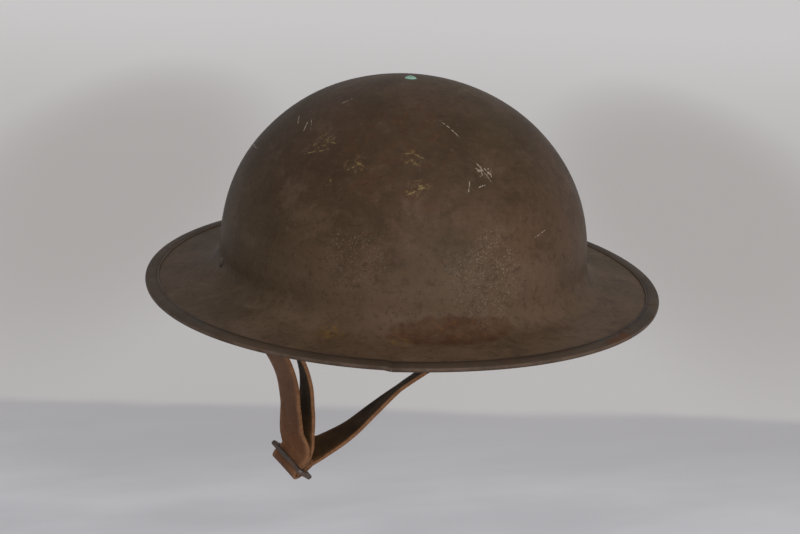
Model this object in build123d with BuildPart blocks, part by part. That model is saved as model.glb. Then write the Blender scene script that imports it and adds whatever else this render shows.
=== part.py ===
"""Steel brimmed helmet with its lining, net and leather chin strap.

Millimetres. The wearer faces -Y and the chin strap hangs from loops on the X axis. The origin is
the top of the head, where the net rests on it, so the rim lies below the origin.
"""

import math
import os

from build123d import *

os.makedirs("parts", exist_ok=True)

# Overall sizes of the steel shell
head_seat_height = 85.0  # top of the wearer's head above the rim
shell_wall = 1.0
brim_half_width = 145.0  # across X, over the rim strip
brim_half_length = 152.5  # along Y, over the rim strip
crown_half_width = 103.4
crown_height = 115.6  # outside, above the rim
crown_fullness_share = 2.06  # exponent of the crown's curve, 2 is a plain ellipse
brim_root_height = 5.3  # where the brim's top would meet the crown without its bend
brim_bend_radius = 13.0

# Folded strip round the rim
rim_strip_thickness = 0.7
rim_strip_depth = 7.6
rim_strip_fit = 0.05
rim_seam_gap = 0.4
rim_seam_bearing = -108.0  # degrees from +X

# Clearances between pieces
soft_gap = 0.3
rivet_fit = 0.06
bail_fit = 0.1

# Lining
band_height = 38.0
band_bottom = 3.0  # above the rim
band_thickness = 1.6
binding_height = 6.0
binding_thickness = 0.8
buffer_diameter = 11.5
buffer_bore = 6.0
buffer_length = 24.0
buffer_bottom = 11.0  # above the rim
buffer_count = 12
strip_width = 34.0
strip_thickness = 1.3
strip_foot = 17.0  # lower end above the rim
pad_radius = 38.0
pad_thickness = 3.6
washer_radius = 8.0
washer_thickness = 0.8
crown_shank_radius = 1.6
crown_head_radius = 3.3
crown_head_height = 1.3
split_leg_length = 9.0
split_leg_thickness = 0.7

# Cotton net with its drawn lace
net_cord = 1.8
net_spring = 8.0  # lower edge above the rim
net_mouth_radius = 14.0
lace_radius = 1.2

# Lugs, their rivets and the wire loops for the strap
rivet_height = 13.0  # above the rim
rivet_radius = 1.6
rivet_head_radius = 3.1
rivet_head_rise = 1.2
rivet_peen_radius = 2.7
rivet_peen_height = 0.9
lug_strip = 1.0
lug_width = 12.0
lug_top_radius = 5.2
lug_pivot_drop = 8.5  # from the rivet down to the loop's upper bar
lug_wall_gap = 0.25
bail_wire = 2.8
bail_width = 25.0  # between the centres of the side wires
bail_drop = 14.0  # between the centres of the upper and lower wires
bail_corner_radius = 3.2

# Chin strap and slide buckle
strap_width = 19.0
strap_thickness = 2.2
strap_step = 8.0  # between the sections of a run
step_slack = 1e-9
buckle_bar_radius = 1.6
buckle_wire = 2.6
buckle_width = 28.0
buckle_corner_radius = 3.5
buckle_centre = (-61.5, 0.0, -108.5)  # from the centre of the rim
buckle_bar_direction = (0.50, -0.72, -0.48)
buckle_rail_direction = (-0.493, -0.694, 0.526)
outer_run = [
    ((-85.5, 0.0, -27.5), -14.0),
    ((-71.5, 0.0, -43.5), -26.0),
    ((-65.5, -0.5, -58.5), -22.0),
    ((-63.4, -1.5, -74.0), -20.0),
    ((-62.6, -2.8, -89.0), -28.0),
]
inner_run = [
    ((-76.5, 0.0, -27.0), 0.0),
    ((-60.5, 0.0, -41.5), -2.0),
    ((-54.8, 0.0, -56.5), -4.0),
    ((-53.6, -0.3, -73.0), -10.0),
    ((-55.3, -1.0, -89.0), -24.0),
]
long_run = [
    ((-43.0, 3.0, -102.5), 14.0),
    ((-28.0, 1.5, -93.0), 2.0),
    ((-13.0, 0.0, -79.5), -6.0),
    ((1.0, 0.0, -68.0), -12.0),
    ((17.0, 0.0, -57.5), -12.0),
    ((50.0, 0.0, -38.0), -6.0),
]

rim_level = -head_seat_height
oval = brim_half_length / brim_half_width


def level(height):
    """Z of a height above the rim."""
    return rim_level + height


def crown_radius(height):
    """Outer half width of the crown at a height above the rim."""
    share = (height / crown_height) ** crown_fullness_share
    return crown_half_width * (1 - share) ** (1 / crown_fullness_share)


def crown_top(radius, inset):
    """Height above the rim of the crown's surface, set inwards by inset, at a radius."""
    share = (radius / (crown_half_width - inset)) ** crown_fullness_share
    return (crown_height - inset) * (1 - share) ** (1 / crown_fullness_share)


brim_slope = math.degrees(math.atan2(brim_root_height, brim_half_width - crown_half_width))

root_radius = crown_radius(brim_root_height)
slope = math.radians(brim_slope)
profile_steps = 7


def brim_top(radius, inset):
    """Height above the rim of the brim's upper face, set inwards by inset, at a radius."""
    return brim_root_height - (radius - root_radius) * math.tan(slope) - inset / math.cos(slope)


def crown_points(inset):
    """Points of the crown's curve from its top to the brim, set inwards by inset."""
    points = []
    for step in range(profile_steps):
        turn = math.radians(90.0 * (1 - step / profile_steps))
        points.append(
            (
                (crown_half_width - inset) * math.cos(turn) ** (2 / crown_fullness_share),
                level((crown_height - inset) * math.sin(turn) ** (2 / crown_fullness_share)),
            )
        )
    points.append((root_radius - inset, level(brim_top(root_radius - inset, inset))))
    return points


# Steel shell: one pressing with a bend between crown and brim, and three rivet holes
shell_edge_radius = brim_half_width - rim_strip_thickness - rim_strip_fit
outer_points = crown_points(0)
inner_points = crown_points(shell_wall)
with BuildPart() as shell:
    with BuildSketch(Plane.XZ):
        with BuildLine():
            Spline(*outer_points, tangents=[(1, 0), (0, -1)])
            Spline(*inner_points, tangents=[(1, 0), (0, -1)])
            Line(outer_points[0], inner_points[0])
            Polyline(
                outer_points[-1],
                (shell_edge_radius, level(brim_top(shell_edge_radius, 0))),
                (shell_edge_radius, level(brim_top(shell_edge_radius, shell_wall))),
                inner_points[-1],
            )
        make_face()
    revolve(axis=Axis.Z)
    rings = shell.edges().filter_by(GeomType.CIRCLE).sort_by(Axis.Z)
    fillet(rings[-1], brim_bend_radius)
    rings = shell.edges().filter_by(GeomType.CIRCLE).sort_by(Axis.Z)
    inner_ring = rings.sort_by(lambda ring: abs(ring.radius - inner_points[-1][0]))[0]
    fillet(inner_ring, brim_bend_radius + shell_wall)
    scale(by=(1, oval, 1))
    rivet_line = Axis((-brim_half_width, 0, level(rivet_height)), (1, 0, 0))
    wall_hits = shell.part.find_intersection_points(rivet_line)
    wall_point, wall_normal = min(wall_hits, key=lambda hit: hit[0].X)
    with BuildSketch(Plane.XY.offset(level(crown_height) - pad_thickness)):
        Circle(crown_shank_radius + rivet_fit)
    extrude(amount=pad_thickness * 2, mode=Mode.SUBTRACT)
    with BuildSketch(Plane.YZ.offset(-brim_half_width)):
        with Locations((0, level(rivet_height))):
            Circle(rivet_radius + rivet_fit)
    extrude(amount=brim_half_width * 2, mode=Mode.SUBTRACT)
shell.part.label = "shell"
export_step(shell.part, "parts/shell.step")

# Rim strip: a U section folded over the edge, with a butt seam
strip_inner = shell_wall + rim_strip_fit * 2
strip_outer = strip_inner + rim_strip_thickness * 2
nose = (brim_half_width, level(-shell_wall / 2))
with BuildPart() as rim_bead:
    with BuildSketch(Plane.XZ):
        with Locations(
            (
                nose[0] - rim_strip_depth / 2 * math.cos(slope),
                nose[1] + rim_strip_depth / 2 * math.sin(slope),
            )
        ):
            strip_blank = Rectangle(rim_strip_depth, strip_outer, rotation=-brim_slope)
        fillet(strip_blank.vertices().sort_by(Axis.X)[-2:], strip_outer * 0.45)
        with Locations(
            (
                nose[0] - (rim_strip_depth / 2 + rim_strip_thickness) * math.cos(slope),
                nose[1] + (rim_strip_depth / 2 + rim_strip_thickness) * math.sin(slope),
            )
        ):
            Rectangle(rim_strip_depth, strip_inner, rotation=-brim_slope, mode=Mode.SUBTRACT)
    revolve(axis=Axis.Z)
    scale(by=(1, oval, 1))
    seam_plane = Plane.XY.offset(rim_level - rim_strip_depth).rotated((0, 0, rim_seam_bearing))
    with BuildSketch(seam_plane):
        with Locations((brim_half_width, 0)):
            Rectangle(rim_strip_depth * 4, rim_seam_gap)
    extrude(amount=rim_strip_depth * 2, mode=Mode.SUBTRACT)
rim_bead.part.label = "rim_bead"
export_step(rim_bead.part, "parts/rim_bead.step")

# Head band, sized so that the rubber buffers just fill the space to the shell
buffer_top = buffer_bottom + buffer_length
band_gap = shell_wall + soft_gap * 2 + buffer_diameter + soft_gap
band_half_width = crown_radius(buffer_top) - band_gap
band_half_length = crown_radius(buffer_top) * oval - band_gap
with BuildPart() as head_band:
    with BuildSketch(Plane.XY.offset(level(band_bottom))):
        Ellipse(band_half_width, band_half_length)
        Ellipse(
            band_half_width - band_thickness, band_half_length - band_thickness, mode=Mode.SUBTRACT
        )
    extrude(amount=band_height)
head_band.part.label = "head_band"
export_step(head_band.part, "parts/head_band.step")

# Binding folded over the band's lower edge
with BuildPart() as band_binding:
    with BuildSketch(Plane.XY.offset(level(band_bottom - binding_thickness))):
        Ellipse(band_half_width + binding_thickness, band_half_length + binding_thickness)
        Ellipse(
            band_half_width - band_thickness - binding_thickness,
            band_half_length - band_thickness - binding_thickness,
            mode=Mode.SUBTRACT,
        )
    extrude(amount=binding_height)
    with BuildSketch(Plane.XY.offset(level(band_bottom))):
        Ellipse(band_half_width, band_half_length)
        Ellipse(
            band_half_width - band_thickness, band_half_length - band_thickness, mode=Mode.SUBTRACT
        )
    extrude(amount=binding_height, mode=Mode.SUBTRACT)
band_binding.part.label = "band_binding"
export_step(band_binding.part, "parts/band_binding.step")

# Rubber buffers: short tubes standing between the band and the shell
buffer_places = []
for index in range(buffer_count):
    bearing = math.radians(360.0 / buffer_count * (index + 0.5))
    reach = buffer_diameter / 2 + soft_gap
    buffer_places.append(
        (
            (band_half_width + reach) * math.cos(bearing),
            (band_half_length + reach) * math.sin(bearing),
        )
    )
with BuildPart() as rubber_buffers:
    with BuildSketch(Plane.XY.offset(level(buffer_bottom))):
        with Locations(*buffer_places):
            Circle(buffer_diameter / 2)
            Circle(buffer_bore / 2, mode=Mode.SUBTRACT)
    extrude(amount=buffer_length)
rubber_buffers.part.label = "rubber_buffers"
export_step(rubber_buffers.part, "parts/rubber_buffers.step")

# Two oilcloth strips that cross under the crown and join the band at their feet
strip_top = crown_height - shell_wall - soft_gap - pad_thickness
strip_spring = band_bottom + band_height + soft_gap
strip_foot_half_width = band_half_width + soft_gap + strip_thickness
strip_oval = (band_half_length + soft_gap + strip_thickness) / strip_foot_half_width


def arched_strip(drop, along_y):
    """Arch over the head: upright beside the band, then domed, cut to the strip's width."""
    rise = strip_top - drop - strip_spring
    inner_half_width = strip_foot_half_width - strip_thickness
    with BuildPart() as arch:
        with BuildSketch(Plane.XZ):
            with BuildLine():
                EllipticalCenterArc((0, level(strip_spring)), strip_foot_half_width, rise)
                Line((0, level(strip_spring) + rise), (0, level(strip_spring) + rise - strip_thickness))
                EllipticalCenterArc(
                    (0, level(strip_spring)), inner_half_width, rise - strip_thickness
                )
                Polyline(
                    (inner_half_width, level(strip_spring)),
                    (inner_half_width, level(strip_foot)),
                    (strip_foot_half_width, level(strip_foot)),
                    (strip_foot_half_width, level(strip_spring)),
                )
            make_face()
        revolve(axis=Axis.Z)
        scale(by=(1, strip_oval, 1))
        span = strip_foot_half_width * 3
        with BuildSketch(Plane.XY.offset(level(0))):
            if along_y:
                Rectangle(strip_width, span)
            else:
                Rectangle(span, strip_width)
            Circle(crown_shank_radius + rivet_fit, mode=Mode.SUBTRACT)
        extrude(amount=crown_height, mode=Mode.INTERSECT)
    return arch.part


long_strip = arched_strip(0, True)
long_strip.label = "long_crown_strip"
export_step(long_strip, "parts/long_crown_strip.step")
short_strip = arched_strip(strip_thickness + soft_gap / 2, False)
short_strip.label = "short_crown_strip"
export_step(short_strip, "parts/short_crown_strip.step")

# Felt pad between the shell and the strips
pad_inset = shell_wall + soft_gap


def strip_arch_top(radius):
    """Height above the rim of the long strip's upper face at a radius."""
    share = 1 - (radius / strip_foot_half_width) ** 2
    return strip_spring + (strip_top - strip_spring) * math.sqrt(share)


with BuildPart() as felt_pad:
    with BuildSketch(Plane.XZ):
        with BuildLine():
            ThreePointArc(
                (0, level(crown_top(0, pad_inset))),
                (pad_radius / 2, level(crown_top(pad_radius / 2, pad_inset))),
                (pad_radius, level(crown_top(pad_radius, pad_inset))),
            )
            Line(
                (pad_radius, level(crown_top(pad_radius, pad_inset))),
                (pad_radius, level(strip_arch_top(pad_radius) + soft_gap)),
            )
            ThreePointArc(
                (pad_radius, level(strip_arch_top(pad_radius) + soft_gap)),
                (pad_radius / 2, level(strip_arch_top(pad_radius / 2) + soft_gap)),
                (0, level(strip_arch_top(0) + soft_gap)),
            )
            Line(
                (0, level(strip_arch_top(0) + soft_gap)), (0, level(crown_top(0, pad_inset)))
            )
        make_face()
    revolve(axis=Axis.Z)
    scale(by=(1, oval, 1))
    with BuildSketch(Plane.XY.offset(level(strip_top - pad_thickness))):
        Circle(crown_shank_radius + rivet_fit)
    extrude(amount=pad_thickness * 3, mode=Mode.SUBTRACT)
felt_pad.part.label = "felt_pad"
export_step(felt_pad.part, "parts/felt_pad.step")

# Washer under the strips
washer_sag = strip_top - strip_arch_top(washer_radius)
washer_top = strip_top - strip_thickness * 2 - soft_gap - washer_sag
with BuildPart() as crown_washer:
    with BuildSketch(Plane.XY.offset(level(washer_top - washer_thickness))):
        Circle(washer_radius)
        Circle(crown_shank_radius + rivet_fit, mode=Mode.SUBTRACT)
    extrude(amount=washer_thickness)
crown_washer.part.label = "crown_washer"
export_step(crown_washer.part, "parts/crown_washer.step")

# Split crown rivet: low domed head, shank, and two legs spread under the washer
cap_radius = (crown_head_radius**2 + crown_head_height**2) / (2 * crown_head_height)
leg_top = washer_top - washer_thickness
leg_bend = split_leg_length * 2
leg_turn = math.degrees(split_leg_length / leg_bend)
with BuildPart() as crown_rivet:
    with Locations((0, 0, level(crown_height) + crown_head_height - cap_radius)):
        Sphere(cap_radius)
    split(bisect_by=Plane.XY.offset(level(crown_height)), keep=Keep.TOP)
    with BuildSketch(Plane.XY.offset(level(leg_top) - split_leg_thickness)):
        Circle(crown_shank_radius)
    extrude(amount=crown_height + crown_head_height / 2 - leg_top + split_leg_thickness)
    with BuildSketch(Plane.XZ):
        with BuildLine():
            JernArc((0, level(leg_top) - split_leg_thickness / 2), (1, 0), leg_bend, -leg_turn)
        trace(line_width=split_leg_thickness)
    extrude(amount=crown_shank_radius, both=True)
    mirror(about=Plane.YZ)
crown_rivet.part.label = "crown_rivet"
export_step(crown_rivet.part, "parts/crown_rivet.step")

# Net: a thin dome of cotton mesh, drawn in round a mouth at the top
net_foot = band_half_width - band_thickness - binding_thickness - soft_gap
net_oval = (net_foot + band_half_length - band_half_width) / net_foot
net_rise = head_seat_height + net_cord - net_spring
net_share = (net_mouth_radius / (net_foot - net_cord / 2)) ** 2
net_mouth_rise = (net_rise - net_cord / 2) * math.sqrt(1 - net_share)
with BuildPart() as crown_net:
    with BuildSketch(Plane.XZ):
        with BuildLine():
            EllipticalCenterArc((0, level(net_spring)), net_foot, net_rise)
            Line((0, level(net_spring) + net_rise), (0, level(net_spring) + net_rise - net_cord))
            EllipticalCenterArc((0, level(net_spring)), net_foot - net_cord, net_rise - net_cord)
            Line((net_foot - net_cord, level(net_spring)), (net_foot, level(net_spring)))
        make_face()
    revolve(axis=Axis.Z)
    scale(by=(1, net_oval, 1))
    with BuildSketch(Plane.XY.offset(level(net_spring))):
        Ellipse(net_mouth_radius, net_mouth_radius * net_oval)
    extrude(amount=crown_height, mode=Mode.SUBTRACT)
crown_net.part.label = "crown_net"
export_step(crown_net.part, "parts/crown_net.step")

# Lace that draws the net's mouth together
with BuildPart() as net_lace:
    with BuildSketch(Plane.XZ):
        with Locations(
            (
                net_mouth_radius - lace_radius - soft_gap,
                level(net_spring + net_mouth_rise),
            )
        ):
            Circle(lace_radius)
    revolve(axis=Axis.Z)
net_lace.part.label = "net_lace"
export_step(net_lace.part, "parts/net_lace.step")

# Side rivets: domed head on the outside, shank along X, peened over inside the lug
wall_radius = -wall_point.X
lug_face = crown_radius(rivet_height + lug_top_radius) - shell_wall - lug_wall_gap
peen_face = lug_face - lug_strip * 2 - rivet_fit
cap = (rivet_head_radius**2 + rivet_head_rise**2) / (2 * rivet_head_rise)
head_seat = brim_bend_radius - math.sqrt(brim_bend_radius**2 - rivet_head_radius**2)
head_base = wall_point + wall_normal * (head_seat + rivet_fit)
with BuildPart() as left_rivet:
    with Locations(head_base + wall_normal * (rivet_head_rise - cap)):
        Sphere(cap)
    split(bisect_by=Plane(head_base, z_dir=wall_normal), keep=Keep.TOP)
    with BuildSketch(Plane.YZ.offset(-wall_radius - rivet_head_rise / 2)):
        with Locations((0, level(rivet_height))):
            Circle(rivet_radius)
    extrude(amount=wall_radius + rivet_head_rise / 2 - peen_face + rivet_peen_height / 2)
    with BuildSketch(Plane.YZ.offset(-peen_face)):
        with Locations((0, level(rivet_height))):
            Circle(rivet_peen_radius)
    extrude(amount=rivet_peen_height)
    fillet(left_rivet.edges().filter_by(GeomType.CIRCLE).sort_by(Axis.X)[-1], rivet_peen_height / 2)
left_rivet.part.label = "left_rivet"
export_step(left_rivet.part, "parts/left_rivet.step")

with BuildPart() as right_rivet:
    add(mirror(left_rivet.part, about=Plane.YZ, mode=Mode.PRIVATE))
right_rivet.part.label = "right_rivet"
export_step(right_rivet.part, "parts/right_rivet.step")

# Lugs: a steel strip folded round the loop's upper bar, its two legs closed at the rivet
pivot_height = rivet_height - lug_pivot_drop
barrel_inner = bail_wire / 2 + bail_fit
barrel_outer = barrel_inner + lug_strip
pivot_radius = lug_face - barrel_outer
lug_top = rivet_height + lug_top_radius
pinch_height = rivet_height - rivet_peen_radius - lug_strip
with BuildPart() as left_lug:
    with BuildSketch(Plane.XZ.offset(-lug_width / 2)):
        with Locations((-pivot_radius, level(pivot_height))):
            Circle(barrel_outer)
            Circle(barrel_inner, mode=Mode.SUBTRACT)
            Rectangle(
                barrel_outer * 2,
                barrel_outer,
                align=(Align.CENTER, Align.MIN),
                mode=Mode.SUBTRACT,
            )
        with BuildLine():
            Polyline(
                (-lug_face, level(pivot_height)),
                (-lug_face, level(lug_top)),
                (-lug_face + lug_strip, level(lug_top)),
                (-lug_face + lug_strip, level(pivot_height)),
                close=True,
            )
        make_face()
        with BuildLine():
            Polyline(
                (-lug_face + lug_strip, level(lug_top)),
                (-lug_face + lug_strip * 2, level(lug_top)),
                (-lug_face + lug_strip * 2, level(pinch_height)),
                (-pivot_radius + barrel_outer, level(pivot_height) + barrel_inner),
                (-pivot_radius + barrel_outer, level(pivot_height)),
                (-pivot_radius + barrel_inner, level(pivot_height)),
                (-pivot_radius + barrel_inner, level(pivot_height) + lug_strip),
                (-lug_face + lug_strip, level(pinch_height)),
                close=True,
            )
        make_face()
    extrude(amount=lug_width)
    top_corners = left_lug.edges().filter_by(Axis.X).group_by(Axis.Z)[-1]
    fillet(top_corners, lug_top_radius)
    with BuildSketch(Plane.YZ.offset(-lug_face - lug_strip)):
        with Locations((0, level(rivet_height))):
            Circle(rivet_radius + rivet_fit)
    extrude(amount=lug_strip * 4, mode=Mode.SUBTRACT)
left_lug.part.label = "left_lug"
export_step(left_lug.part, "parts/left_lug.step")

with BuildPart() as right_lug:
    add(mirror(left_lug.part, about=Plane.YZ, mode=Mode.PRIVATE))
right_lug.part.label = "right_lug"
export_step(right_lug.part, "parts/right_lug.step")

# Wire loops that hang from the lugs
bail_centre = level(pivot_height - bail_drop / 2)
with BuildPart() as left_bail:
    with BuildLine(Plane.YZ.offset(-pivot_radius)) as bail_path:
        FilletPolyline(
            (-bail_width / 2, bail_centre - bail_drop / 2),
            (bail_width / 2, bail_centre - bail_drop / 2),
            (bail_width / 2, bail_centre + bail_drop / 2),
            (-bail_width / 2, bail_centre + bail_drop / 2),
            radius=bail_corner_radius,
            close=True,
        )
    with BuildSketch(Plane(bail_path.line @ 0, z_dir=bail_path.line % 0)):
        Circle(bail_wire / 2)
    sweep()
left_bail.part.label = "left_bail"
export_step(left_bail.part, "parts/left_bail.step")

with BuildPart() as right_bail:
    add(mirror(left_bail.part, about=Plane.YZ, mode=Mode.PRIVATE))
right_bail.part.label = "right_bail"
export_step(right_bail.part, "parts/right_bail.step")

# Chin strap: one length of leather. From the right loop it runs to the buckle, round its bar,
# up to the left loop and back down to the same bar, where its end is folded over.
ring_inner = bail_wire / 2 + soft_gap
ring_middle = ring_inner + strap_thickness / 2
ring_outer = ring_inner + strap_thickness
wrap_middle = buckle_bar_radius + soft_gap + strap_thickness / 2
curl_middle = wrap_middle + soft_gap + strap_thickness
stub = strap_thickness * 2
bar_height = pivot_height - bail_drop
left_bar = Vector(-pivot_radius, 0, level(bar_height))
right_bar = Vector(pivot_radius, 0, level(bar_height))


def from_rim(point):
    """A point given from the centre of the rim, in the frame of the part."""
    return Vector(point[0], point[1], level(point[2]))


def folded_loop(centre, bar, away, middle):
    """Section of the strap bent half round a bar, with a short straight stub on each side.

    away points from the bar to the outside of the bend.
    """
    with BuildSketch(Plane(centre, x_dir=away, z_dir=bar)) as bend_section:
        Circle(middle + strap_thickness / 2)
        Circle(middle - strap_thickness / 2, mode=Mode.SUBTRACT)
        Rectangle(
            middle * 2,
            middle * 4,
            align=(Align.MAX, Align.CENTER),
            mode=Mode.SUBTRACT,
        )
        with Locations((-stub / 2, middle), (-stub / 2, -middle)):
            Rectangle(stub, strap_thickness)
    return bend_section.sketch


def turn_about(along, across):
    """Degrees about along from level across Y to across."""
    base = Vector(0, 1, 0) - along * along.Y
    base = base.normalized()
    return math.degrees(math.atan2(along.dot(base.cross(across)), base.dot(across)))


def run_sections(start, stations, end):
    """Flat sections of a strap run; start and end are the planes of its first and last."""
    points = [start.origin] + [from_rim(place) for place, turn in stations] + [end.origin]
    turns = [turn_about(start.z_dir, start.x_dir)]
    turns += [turn for place, turn in stations]
    turns.append(turn_about(end.z_dir, end.x_dir))
    spans = [(after - before).length for before, after in zip(points, points[1:])]
    marks = [sum(spans[:index]) / sum(spans) for index in range(len(points))]
    path = Spline(*points, tangents=[start.z_dir, end.z_dir], mode=Mode.PRIVATE)
    steps = round(sum(spans) / strap_step)
    sections = []
    for step in range(steps + 1):
        mark = step / steps
        place = next(index for index in range(len(spans)) if mark <= marks[index + 1] + step_slack)
        blend = (mark - marks[place]) / (marks[place + 1] - marks[place])
        turn = turns[place] * (1 - blend) + turns[place + 1] * blend
        along = path % mark
        across = (Vector(0, 1, 0) - along * along.Y).normalized()
        plane = Plane(path @ mark, x_dir=across.rotate(Axis((0, 0, 0), along), turn), z_dir=along)
        if step == 0:
            plane = start
        if step == steps:
            plane = end
        with BuildSketch(plane) as run_section:
            Rectangle(strap_width, strap_thickness)
        sections.append(run_section.sketch)
    print("strap run", round(path.length, 1))
    return sections


def run_plane(origin, across, along):
    """Section plane of the strap, its X across the strap and its Z along it."""
    return Plane(origin, x_dir=across, z_dir=along)


buckle_point = from_rim(buckle_centre)
bar_axis = Vector(*buckle_bar_direction).normalized()
rail_axis = Vector(*buckle_rail_direction)
rail_axis = (rail_axis - bar_axis * rail_axis.dot(bar_axis)).normalized()
curl_away = bar_axis.cross(rail_axis)
if curl_away.Z > 0:
    curl_away = curl_away * -1
left_along = (from_rim(outer_run[0][0]) - left_bar).normalized()
left_side = Vector(0, 1, 0).cross(left_along)
if left_side.Z > 0:
    left_side = left_side * -1
right_along = (right_bar - from_rim(long_run[-1][0])).normalized()
right_side = Vector(0, 1, 0).cross(right_along)
if right_side.Z > 0:
    right_side = right_side * -1
width_axis = Vector(0, 1, 0)

outer_sections = run_sections(
    run_plane(left_bar + left_side * ring_middle + left_along * stub, width_axis, left_along),
    outer_run,
    run_plane(
        buckle_point + rail_axis * curl_middle - curl_away * stub, bar_axis * -1, curl_away
    ),
)
inner_sections = run_sections(
    run_plane(left_bar - left_side * ring_middle + left_along * stub, width_axis, left_along),
    inner_run,
    run_plane(
        buckle_point + rail_axis * wrap_middle - curl_away * stub, bar_axis * -1, curl_away
    ),
)
long_sections = run_sections(
    run_plane(
        buckle_point - rail_axis * curl_middle - curl_away * stub, bar_axis * -1, curl_away * -1
    ),
    long_run,
    run_plane(
        right_bar + right_side * ring_middle - right_along * stub, width_axis, right_along
    ),
)
with BuildPart() as chin_strap:
    for bend_section in (
        folded_loop(left_bar, width_axis, left_along * -1, ring_middle),
        folded_loop(right_bar, width_axis, right_along, ring_middle),
        folded_loop(buckle_point, bar_axis, curl_away, wrap_middle),
        folded_loop(buckle_point, bar_axis, curl_away, curl_middle),
    ):
        extrude(bend_section, amount=strap_width / 2, both=True)
    loft(outer_sections, ruled=True)
    loft(inner_sections, ruled=True)
    loft(long_sections, ruled=True)
chin_strap.part.label = "chin_strap"
export_step(chin_strap.part, "parts/chin_strap.step")

# Slide buckle: a flat wire frame with a middle bar
rail_half = curl_middle + strap_thickness / 2 + soft_gap + buckle_wire / 2
frame_plane = Plane(buckle_point, x_dir=bar_axis, z_dir=curl_away)
with BuildPart() as slide_buckle:
    with BuildSketch(frame_plane):
        RectangleRounded(
            buckle_width, rail_half * 2 + buckle_wire, buckle_corner_radius
        )
        Rectangle(
            buckle_width - buckle_wire * 2, rail_half * 2 - buckle_wire, mode=Mode.SUBTRACT
        )
    extrude(amount=buckle_wire / 2, both=True)
    fillet(slide_buckle.edges().filter_by(GeomType.CIRCLE), buckle_wire / 4)
    with BuildSketch(Plane(buckle_point, x_dir=rail_axis, z_dir=bar_axis)):
        Circle(buckle_bar_radius)
    extrude(amount=buckle_width / 2 - buckle_wire / 2, both=True)
slide_buckle.part.label = "slide_buckle"
export_step(slide_buckle.part, "parts/slide_buckle.step")

print("band inside, half width and half length", band_half_width - band_thickness,
      band_half_length - band_thickness)
print("loop pivot", pivot_radius, level(pivot_height), "rivet", wall_radius, level(rivet_height))
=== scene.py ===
import math

import bmesh
import bpy
from mathutils import Matrix, Vector, noise


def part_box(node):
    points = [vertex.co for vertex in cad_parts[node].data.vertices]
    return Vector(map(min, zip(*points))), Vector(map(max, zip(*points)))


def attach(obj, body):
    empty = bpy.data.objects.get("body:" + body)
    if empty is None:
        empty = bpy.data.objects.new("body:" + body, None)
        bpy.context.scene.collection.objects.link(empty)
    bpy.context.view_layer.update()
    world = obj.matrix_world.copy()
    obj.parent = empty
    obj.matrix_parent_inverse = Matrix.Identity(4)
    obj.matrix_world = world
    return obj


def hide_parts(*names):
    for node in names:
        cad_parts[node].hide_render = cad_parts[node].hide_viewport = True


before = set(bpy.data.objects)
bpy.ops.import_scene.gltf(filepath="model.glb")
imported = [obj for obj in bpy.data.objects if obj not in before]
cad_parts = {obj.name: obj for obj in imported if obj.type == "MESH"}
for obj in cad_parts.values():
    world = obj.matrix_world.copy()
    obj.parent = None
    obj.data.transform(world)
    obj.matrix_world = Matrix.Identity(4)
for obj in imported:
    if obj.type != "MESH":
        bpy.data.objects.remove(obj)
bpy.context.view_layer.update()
mm = 0.001
turn = 2 * math.pi

# The part file's sizes in metres; springHeight, dent and brimDroop are only here
rim = -0.085  # height of the rim below the top of the head
brimHalfWidth, brimHalfLength = 0.145, 0.1525
crownHalfWidth, crownHeight = 0.1034, 0.1156
springHeight = 0.018  # the crown's curve starts here, which fills its sides
fullness = 2.06
rootHeight, bendRadius = 0.0053, 0.013
shellWall, stripWall, stripFit = 0.001, 0.0007, 0.00005
dent, brimDroop = 0.00035, 0.00106
oval = brimHalfLength / brimHalfWidth
slope = math.atan2(rootHeight, brimHalfWidth - crownHalfWidth)
crownRise = crownHeight - springHeight


# Modelling helpers

addCircle = bpy.ops.mesh.primitive_circle_add
addCylinder = bpy.ops.mesh.primitive_cylinder_add
addGrid = bpy.ops.mesh.primitive_grid_add
addSphere = bpy.ops.mesh.primitive_ico_sphere_add


def pick(*pieces):
    for piece in bpy.context.selected_objects:
        piece.select_set(False)
    for piece in reversed(pieces):
        piece.select_set(True)
        bpy.context.view_layer.objects.active = piece


def link(piece):
    bpy.context.collection.objects.link(piece)


def named(name):
    # The piece that was just added or joined
    piece = bpy.context.object
    piece.name = name
    return piece


def add(name, operator, **how):
    pick()
    operator(**how)
    return named(name)


def edit(piece):
    pick(piece)
    bpy.ops.object.mode_set(mode="EDIT")
    bpy.ops.mesh.select_all(action="SELECT")


def leave():
    bpy.ops.object.mode_set(mode="OBJECT")


def faceOutwards():
    bpy.ops.mesh.select_all(action="SELECT")
    bpy.ops.mesh.normals_make_consistent(inside=False)
    leave()


def selectCaps(piece):
    # The faces that look up or down
    bpy.ops.mesh.select_mode(type="FACE")
    bpy.ops.mesh.select_all(action="DESELECT")
    mesh = bmesh.from_edit_mesh(piece.data)
    for face in mesh.faces:
        face.select_set(abs(face.normal.z) > 0.9)
    bmesh.update_edit_mesh(piece.data)


def thicken(piece, thickness, offset):
    wall = piece.modifiers.new("wall", "SOLIDIFY")
    wall.thickness = thickness
    wall.offset = offset
    return wall


def roundEdges(piece, width, segments=2, degrees=30):
    edge = piece.modifiers.new("edges", "BEVEL")
    edge.width = width
    edge.segments = segments
    edge.limit_method = "ANGLE"
    edge.angle_limit = math.radians(degrees)
    return edge


def applyAll(piece):
    pick(piece)
    for modifier in list(piece.modifiers):
        bpy.ops.object.modifier_apply(modifier=modifier.name)


def smooth(piece, degrees):
    applyAll(piece)
    bpy.ops.object.shade_smooth_by_angle(angle=math.radians(degrees))


def joinPieces(pieces, name):
    pick(*pieces)
    bpy.ops.object.join()
    return named(name)


def copyPiece(piece, name, matrix):
    twin = piece.copy()
    twin.data = piece.data.copy()
    twin.name = name
    link(twin)
    placeMesh(twin, matrix)
    return twin


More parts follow.
